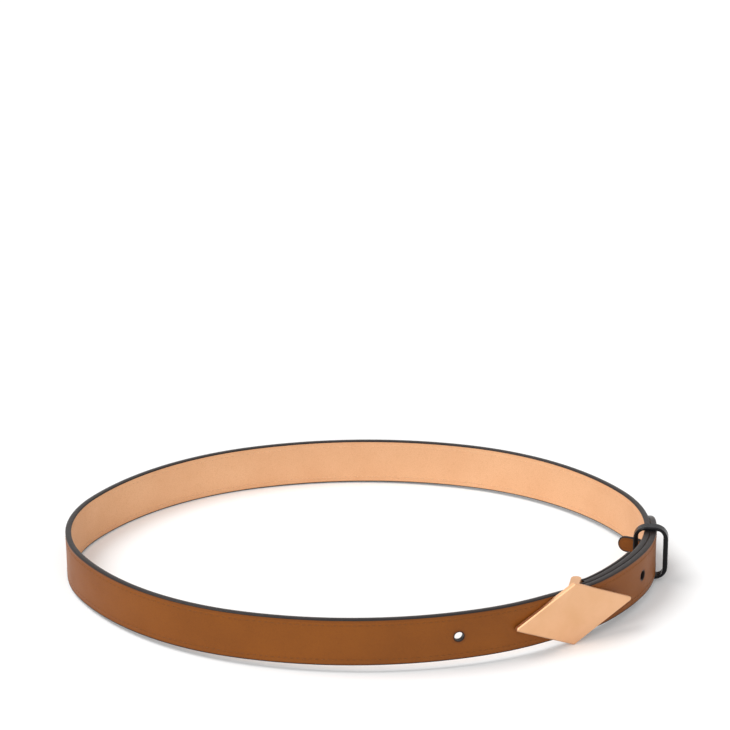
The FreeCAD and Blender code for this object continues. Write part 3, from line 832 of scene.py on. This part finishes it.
def guide_curve(course):
    """A course as a fine curve that a node tree can sample."""
    stations = course.stations(PATH_STEP, PATH_TURN)
    curve = bpy.data.curves.new("guide", "CURVE")
    curve.dimensions = "3D"
    spline = curve.splines.new("POLY")
    spline.points.add(len(stations) - 1)
    for point, station in zip(spline.points, stations):
        point.co = (*course.point_at(station), 0.0, 1.0)
    return curve


def bend_flat(group, flat, course, inputs):
    """The plain mesh that a tree makes of a flat one along a course; flat mesh and guide go."""
    piece = bpy.data.objects.new(flat.name, flat)
    guide = bpy.data.objects.new("guide", guide_curve(course))
    for obj in (piece, guide):
        bpy.context.scene.collection.objects.link(obj)
    modifier = piece.modifiers.new(group.name, "NODES")
    modifier.node_group = group
    sockets = {item.name: item.identifier for item in group.interface.items_tree
               if item.in_out == "INPUT"}
    for label, value in {"Course": guide, **inputs}.items():
        modifier[sockets[label]] = value
    bpy.context.view_layer.update()
    evaluated = piece.evaluated_get(bpy.context.evaluated_depsgraph_get())
    result = bpy.data.meshes.new_from_object(evaluated)
    # Their objects go with them.
    bpy.data.meshes.remove(flat)
    bpy.data.curves.remove(guide.data)
    return result


def joined(first, second):
    """The first mesh, with a second of the same finish added."""
    both = bmesh.new()
    both.from_mesh(first)
    both.from_mesh(second)
    both.to_mesh(first)
    both.free()
    bpy.data.meshes.remove(second)
    return first


def put_on_strap(name, mesh, strap, replaced=(), sharp=LEATHER_SHARP):
    """Stands a bent piece on the strap's place, and makes it ride on the strap."""
    mesh.transform(strap_place(strap))
    mesh.shade_smooth()
    mesh.set_sharp_from_angle(angle=sharp)
    mesh.name = name
    obj = bpy.data.objects.new(name, mesh)
    bpy.context.scene.collection.objects.link(obj)
    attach(obj, "strap")
    if replaced:
        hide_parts(*replaced)


# ---- finishes ----------------------------------------------------------------------------------

# A hide's grain and fibre are counted to the metre, and its edge darkening is how much darker its face turns
# towards a cut edge.
Hide = namedtuple("Hide", "grain fibre roughness burnish")
FACE_HIDE = Hide(grain=1500.0, fibre=4200.0, roughness=0.44, burnish=0.55)
FLESH_HIDE = Hide(grain=700.0, fibre=2400.0, roughness=0.85, burnish=0.0)
LINING_HIDE = Hide(grain=1100.0, fibre=3600.0, roughness=0.52, burnish=0.35)

Lacquer = namedtuple("Lacquer", "roughness gloss coat waviness")
EDGE_LACQUER = Lacquer(roughness=0.30, gloss=0.20, coat=0.0, waviness=0.25)
RING_LACQUER = Lacquer(roughness=0.20, gloss=0.12, coat=0.05, waviness=0.05)

# Spans of a pattern's values that a finish spreads over a new range
WHOLE = (0.0, 1.0)
NOISE_CORE = (0.35, 0.65)      # most of a noise
NOISE_SPREAD = (0.30, 0.70)    # nearly all of a noise
DUST = (0.50, 0.75)
GRAIN_LINES = (0.0, 0.12)      # from the lines between the grain's cells
GRAIN_HILLS = (0.0, 0.25)
HOLE_PAINT_AND_SHADE = (0.60, 0.84)      # where the dark ring round a hole, partly paint and partly painted shade of the bore, begins and is full

# How much of its shade a leather takes
PATCH_SHADE = 0.22
CLOUD_SHADE = 0.16
LIP_SHADE = 0.7
LINE_SHADE = 0.35

# Inputs and output of a Mix node that mixes colours
MIX_FACTOR, MIX_FIRST, MIX_SECOND, MIX_RESULT = 0, 6, 7, 2


def material_tree(name):
    """A new material and its empty tree."""
    material = bpy.data.materials.new(name)
    material.use_nodes = True
    material.node_tree.nodes.clear()
    return material, Tree(material.node_tree)


def noise(tree, place, scale, detail=2.0, roughness=0.5):
    """A noise with so many waves to the metre."""
    return tree.node("ShaderNodeTexNoise", {"Vector": place, "Scale": scale, "Detail": detail,
                                            "Roughness": roughness}).outputs[0]


def combined(tree, operation, first, second, clamp=False):
    """Result of an operation on two values."""
    return tree.node("ShaderNodeMath", {0: first, 1: second}, operation=operation,
                     use_clamp=clamp).outputs[0]


def blended(tree, factor, first, second):
    """Colour between two others."""
    return tree.node("ShaderNodeMix", {MIX_FACTOR: factor, MIX_FIRST: first, MIX_SECOND: second},
                     data_type="RGBA").outputs[MIX_RESULT]


def ranged(tree, value, span, low=0.0, high=1.0):
    """A value's span spread from low to high."""
    return tree.node("ShaderNodeMapRange", {"Value": value, "From Min": span[0],
                                            "From Max": span[1], "To Min": low,
                                            "To Max": high}).outputs[0]


def bumped(tree, height, strength, depth):
    """Normal of a surface whose hills are so deep."""
    return tree.node("ShaderNodeBump", {"Height": height, "Strength": strength,
                                        "Distance": depth}).outputs[0]


def add_surface(tree, inputs):
    """Ends a material's tree in its shader."""
    shader = tree.node("ShaderNodeBsdfPrincipled", inputs)
    tree.node("ShaderNodeOutputMaterial", {"Surface": shader.outputs[0]})


def leather_finish(name, hide, base, shade, paint, crease):
    """Leather with a fine grain, soft mottling, edges darker towards the cut, hole lips darkened with wear, and a
    dark ring round its holes that is partly paint and partly painted shade of the bore.
    """
    material, tree = material_tree(name)
    flat = tree.node("ShaderNodeUVMap", uv_map="UVMap").outputs[0]
    patches = noise(tree, flat, scale=38.0, detail=4.0, roughness=0.55)
    clouds = noise(tree, flat, scale=9.0)
    cells = tree.node("ShaderNodeTexVoronoi", {"Vector": flat, "Scale": hide.grain,
                                               "Randomness": 0.9},
                      feature="DISTANCE_TO_EDGE").outputs[0]
    fibre = noise(tree, flat, scale=hide.fibre, detail=3.0)
    inset = tree.node("ShaderNodeAttribute", attribute_name="inset").outputs["Fac"]
    lip = tree.node("ShaderNodeAttribute", attribute_name="lip").outputs["Fac"]
    mottled = combined(tree, "ADD", ranged(tree, patches, NOISE_CORE, high=PATCH_SHADE),
                       ranged(tree, clouds, NOISE_CORE, high=CLOUD_SHADE))
    # Darker towards each cut edge, from the edge in to the crease, and darker with wear at the holes' lips.
    edge_and_hole_darkening = combined(tree, "MAXIMUM",
                       ranged(tree, inset, (0.0, crease), low=hide.burnish, high=0.0),
                       ranged(tree, lip, WHOLE, high=LIP_SHADE))
    shaded = combined(tree, "ADD", mottled, edge_and_hole_darkening, clamp=True)
    tinted = blended(tree, shaded, (*base, 1), (*shade, 1))
    lines = ranged(tree, cells, GRAIN_LINES, low=LINE_SHADE, high=0.0)
    tinted = blended(tree, lines, tinted, (*shade, 1))
    # Dark ring round each hole: partly edge paint, partly painted shade of the bore.
    tinted = blended(tree, ranged(tree, lip, HOLE_PAINT_AND_SHADE), tinted, (*paint, 1))
    hills = combined(tree, "ADD", ranged(tree, cells, GRAIN_HILLS), fibre)
    add_surface(tree, {
        "Base Color": tinted, "Normal": bumped(tree, hills, strength=0.35, depth=0.00006),
        "Roughness": ranged(tree, patches, NOISE_SPREAD,
                            low=hide.roughness - 0.06, high=hide.roughness + 0.06),
        "Specular IOR Level": 0.14})
    return material


def lacquer_finish(name, lacquer, base):
    """Paint or lacquer with a slightly uneven surface."""
    material, tree = material_tree(name)
    place = tree.node("ShaderNodeTexCoord").outputs["Object"]
    uneven = noise(tree, place, scale=420.0)
    dust = noise(tree, place, scale=2600.0)
    lighter = [min(1.0, channel * 1.8 + 0.004) for channel in base]
    add_surface(tree, {
        "Base Color": blended(tree, ranged(tree, dust, DUST), (*base, 1), (*lighter, 1)),
        "Normal": bumped(tree, uneven, strength=lacquer.waviness, depth=0.00005),
        "Roughness": ranged(tree, uneven, NOISE_SPREAD,
                            low=lacquer.roughness, high=lacquer.roughness + 0.1),
        "Specular IOR Level": lacquer.gloss, "Coat Weight": lacquer.coat,
        "Coat Roughness": 0.06})
    return material


def thread_finish(name, base):
    """Waxed thread with a twisted lay."""
    material, tree = material_tree(name)
    place = tree.node("ShaderNodeTexCoord").outputs["Object"]
    lay = noise(tree, place, scale=3500.0)
    darker = [channel * 0.6 for channel in base]
    add_surface(tree, {
        "Base Color": blended(tree, ranged(tree, lay, NOISE_CORE), (*darker, 1), (*base, 1)),
        "Normal": bumped(tree, lay, strength=0.5, depth=0.00004),
        "Roughness": 0.6, "Specular IOR Level": 0.2})
    return material


def satin_gold_finish(name, base):
    """Plated metal with a fine satin brushing along X and Y, and marks of handling."""
    material, tree = material_tree(name)
    place = tree.node("ShaderNodeTexCoord").outputs["Object"]
    stretched = tree.node("ShaderNodeMapping", {"Vector": place, "Scale": (400.0, 400.0, 5200.0)})
    brushing = noise(tree, stretched.outputs[0], scale=1.0, detail=3.0)
    handling = noise(tree, place, scale=60.0, detail=3.0)
    deeper = [channel * factor for channel, factor in zip(base, (0.93, 0.9, 0.84))]
    add_surface(tree, {
        "Base Color": blended(tree, ranged(tree, handling, NOISE_CORE), (*base, 1), (*deeper, 1)),
        "Normal": bumped(tree, brushing, strength=0.12, depth=0.00002),
        "Roughness": ranged(tree, brushing, NOISE_SPREAD, low=0.34, high=0.44),
        "Metallic": 1.0})
    return material


def edge_finish(tints):
    """Edge paint, which the beads and the holes' walls share; on the holes' walls it is partly real paint and
    partly painted shade of the bore.
    """
    name = "edge_paint"
    return bpy.data.materials.get(name) or lacquer_finish(name, EDGE_LACQUER, tints.edge)


def seen_directly(tree):
    """1 where a camera, gloss or glass ray arrives, 0 for the light that it gives."""
    path = tree.node("ShaderNodeLightPath").outputs
    seen = combined(tree, "MAXIMUM", path["Is Camera Ray"], path["Is Glossy Ray"])
    return combined(tree, "MAXIMUM", seen, path["Is Transmission Ray"])


def floor_finish(base, lift):
    """White floor that takes shadows and looks white where it is lit."""
    material, tree = material_tree("white_floor")
    matt = tree.node("ShaderNodeBsdfDiffuse", {"Color": (*base, 1)})
    glow = tree.node("ShaderNodeEmission",
                     {"Strength": combined(tree, "MULTIPLY", seen_directly(tree), lift)})
    both = tree.node("ShaderNodeAddShader", {0: matt.outputs[0], 1: glow.outputs[0]})
    tree.node("ShaderNodeOutputMaterial", {"Surface": both.outputs[0]})
    return material


# ---- operators ---------------------------------------------------------------------------------

def leather_settings(scene):
    """What every work on leather needs."""
    return scene.belt_strap, scene.belt_cut, scene.belt_edge, scene.belt_colours


class BELT_OT_face_leather(bpy.types.Operator):
    """Cuts the brown face leather flat and bends it round the loop, the bar and back"""
    bl_idname = "belt.face_leather"
    bl_label = "Face Leather"

    def execute(self, context):
        strap, cut, edge, tints = leather_settings(context.scene)
        inner = strap_course(strap, cut, 0.0)
        course = face_course(strap, cut)
        start = fold_start(strap, cut)
        holes = strap_holes(strap, cut, inner, course, cut.post_seat)
        pattern = cut_strap(strap, cut, edge, course, start, holes)
        add_turn_back(pattern, strap, cut, edge, course, start)
        flat = leather_mesh("flat_face", pattern, strap.face, edge, holes, raw_back=True)
        face = leather_finish("cognac_leather", FACE_HIDE, tints.face, tints.face_dark,
                              tints.edge, edge.crease)
        flesh = leather_finish("face_leather_back", FLESH_HIDE, tints.flesh, tints.face_dark,
                               tints.edge, edge.crease)
        # The holes' walls take the edge paint, partly as painted shade of the bore.
        mesh = bend_flat(shared_tree("Bent Leather", bent_leather_tree), flat, course,
                         {"Face Finish": face, "Back Finish": flesh,
                          "Bore Finish": edge_finish(tints)})
        put_on_strap("face_leather", mesh, strap, ["strap_face"])
        return {"FINISHED"}


class BELT_OT_lining(bpy.types.Operator):
    """Cuts the natural lining and its core, and bends them inside the face leather"""
    bl_idname = "belt.lining"
    bl_label = "Lining"

    def execute(self, context):
        strap, cut, edge, tints = leather_settings(context.scene)
        course = strap_course(strap, cut, 0.0)
        holes = strap_holes(strap, cut, course, course, cut.barrel_hole)
        pattern = cut_strap(strap, cut, edge, course, course.length - cut.lining_stop, holes)
        flat = leather_mesh("flat_lining", pattern, flesh_height(strap), edge, holes)
        finish = leather_finish("natural_lining", LINING_HIDE, tints.lining, tints.lining_dark,
                                tints.edge, edge.crease)
        # The holes' walls take the edge paint, partly as painted shade of the bore.
        mesh = bend_flat(shared_tree("Bent Leather", bent_leather_tree), flat, course,
                         {"Face Finish": finish, "Back Finish": finish,
                          "Bore Finish": edge_finish(tints)})
        put_on_strap("lining_leather", mesh, strap, ["strap_lining"])
        return {"FINISHED"}


class BELT_OT_edge_paint(bpy.types.Operator):
    """Runs rounded beads of dark paint along every cut edge"""
    bl_idname = "belt.edge_paint"
    bl_label = "Edge Paint"

    def execute(self, context):
        strap, cut, edge, tints = leather_settings(context.scene)
        inner = strap_course(strap, cut, 0.0)
        outer = face_course(strap, cut)
        stop = inner.length - cut.lining_stop
        finish = edge_finish(tints)
        paths = ((inner, strap_outline(strap, cut, inner, stop), thickness(strap)),
                 (outer, fold_outline(strap, cut, outer, same_place(inner, outer, stop)),
                  strap.face))
        beads = [bend_flat(shared_tree("Bent Leather", bent_leather_tree),
                           bead_mesh("flat_bead", path, thick, edge), course,
                           {"Face Finish": finish, "Back Finish": finish})
                 for course, path, thick in paths]
        put_on_strap("edge_paint", joined(*beads), strap, ["strap_core"],
                     PAINT_SHARP)
        return {"FINISHED"}


class BELT_OT_stitching(bpy.types.Operator):
    """Sews a row of thread beside the edges, on the face and on the lining"""
    bl_idname = "belt.stitching"
    bl_label = "Stitching"

    def execute(self, context):
        strap, cut, _, tints = leather_settings(context.scene)
        sewing = context.scene.belt_stitches
        inner = strap_course(strap, cut, 0.0)
        outer = strap_course(strap, cut, flesh_height(strap))
        last = inner.length - cut.lining_stop - sewing.inset
        rows = (("face_stitches", outer, strap.face, tints.face_thread, "face_leather"),
                ("lining_stitches", inner, 0.0, tints.lining_thread, "lining_leather"))
        for name, course, height, tint, slot in rows:
            path = strap_outline(strap, cut, course, same_place(inner, course, last))
            mesh = bend_flat(
                shared_tree("Stitches", stitch_tree),
                row_mesh("flat_row", path, sewing.inset, height), course,
                {"Pitch": sewing.pitch, "Length": sewing.length, "Thread": sewing.thread,
                 "Slant": sewing.slant, "Finish": thread_finish(name, tint)})
            put_on_strap(name, mesh, strap)
        return {"FINISHED"}


class BELT_OT_metal(bpy.types.Operator):
    """Finishes the buckle, the screw posts and the keeper ring"""
    bl_idname = "belt.metal"
    bl_label = "Metal"

    def execute(self, context):
        tints = context.scene.belt_colours
        finishes = {"pale_gold": satin_gold_finish("satin_pale_gold", tints.gold),
                    "black_enamel": lacquer_finish("black_lacquer", RING_LACQUER, tints.enamel)}
        for part in frame["record"]["subparts"]:
            if part["material_slot"] in finishes:
                mesh = frame["nodes"][part["node"]].data
                mesh.materials.clear()
                mesh.materials.append(finishes[part["material_slot"]])
        return {"FINISHED"}


def add_light(name, strength, softness, place):
    """A soft, distant light that shines from a place towards the belt."""
    light = bpy.data.lights.new(name, "SUN")
    light.energy = strength
    light.angle = softness
    obj = bpy.data.objects.new(name, light)
    obj.location = place
    obj.rotation_euler = (-Vector(place)).to_track_quat("-Z", "Y").to_euler()
    bpy.context.scene.collection.objects.link(obj)


class BELT_OT_stage(bpy.types.Operator):
    """Sets the floor, the lamps, the room light and the camera"""
    bl_idname = "belt.stage"
    bl_label = "Stage"

    def execute(self, context):
        scene = context.scene
        stage = scene.belt_stage
        half = FLOOR_WIDTH / 2
        mesh = bpy.data.meshes.new("floor")
        mesh.from_pydata([(-half, -half, 0), (half, -half, 0), (half, half, 0), (-half, half, 0)],
                         [], [(0, 1, 2, 3)])
        mesh.materials.append(floor_finish(stage.floor, stage.floor_lift))
        floor = bpy.data.objects.new("floor", mesh)
        scene.collection.objects.link(floor)
        add_light("key_light", stage.key, stage.key_softness, stage.key_from)
        add_light("fill_light", stage.fill, stage.fill_softness, stage.fill_from)
        world = bpy.data.worlds.new("room")
        scene.world = world
        world.use_nodes = True
        world.node_tree.nodes.clear()
        tree = Tree(world.node_tree)
        strength = ranged(tree, seen_directly(tree), WHOLE, low=stage.room, high=1.0)
        light = tree.node("ShaderNodeBackground", {"Color": (1, 1, 1, 1), "Strength": strength})
        tree.node("ShaderNodeOutputWorld", {"Surface": light.outputs[0]})
        camera = bpy.data.cameras.new("camera")
        camera.lens = stage.lens
        obj = bpy.data.objects.new("camera", camera)
        obj.location = (stage.camera_side, -stage.camera_back, stage.camera_height)
        obj.rotation_euler = (math.pi / 2 - stage.camera_pitch, 0, 0)
        scene.collection.objects.link(obj)
        scene.camera = obj
        scene.view_settings.view_transform = "Standard"
        return {"FINISHED"}


class BELT_PT_panel(bpy.types.Panel):
    """Lists the belt's sizes, colours and steps"""
    bl_idname = "BELT_PT_panel"
    bl_label = "Dress Belt"
    bl_space_type = "VIEW_3D"
    bl_region_type = "UI"
    bl_category = "Belt"

    def draw(self, context):
        for key, group in GROUPS.items():
            box = self.layout.box()
            box.label(text=group.__doc__)
            for name in group.__annotations__:
                box.prop(getattr(context.scene, key), name)
        for operator in OPERATORS:
            self.layout.operator(operator.bl_idname)


GROUPS = {"belt_strap": BeltStrap, "belt_cut": BeltCut, "belt_edge": BeltEdge,
          "belt_stitches": BeltStitches, "belt_colours": BeltColours, "belt_stage": BeltStage}
OPERATORS = (BELT_OT_face_leather, BELT_OT_lining, BELT_OT_edge_paint, BELT_OT_stitching,
             BELT_OT_metal, BELT_OT_stage)


def register():
    for cls in (*GROUPS.values(), *OPERATORS, BELT_PT_panel):
        bpy.utils.register_class(cls)
    for key, group in GROUPS.items():
        setattr(bpy.types.Scene, key, bpy.props.PointerProperty(type=group))


def unregister():
    for key in GROUPS:
        delattr(bpy.types.Scene, key)
    for cls in (BELT_PT_panel, *reversed(OPERATORS), *reversed(GROUPS.values())):
        bpy.utils.unregister_class(cls)


def main():
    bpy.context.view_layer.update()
    register()
    bpy.ops.belt.face_leather()
    bpy.ops.belt.lining()
    bpy.ops.belt.edge_paint()
    bpy.ops.belt.stitching()
    bpy.ops.belt.metal()
    bpy.ops.belt.stage()


if __name__ == "__main__":
    main()
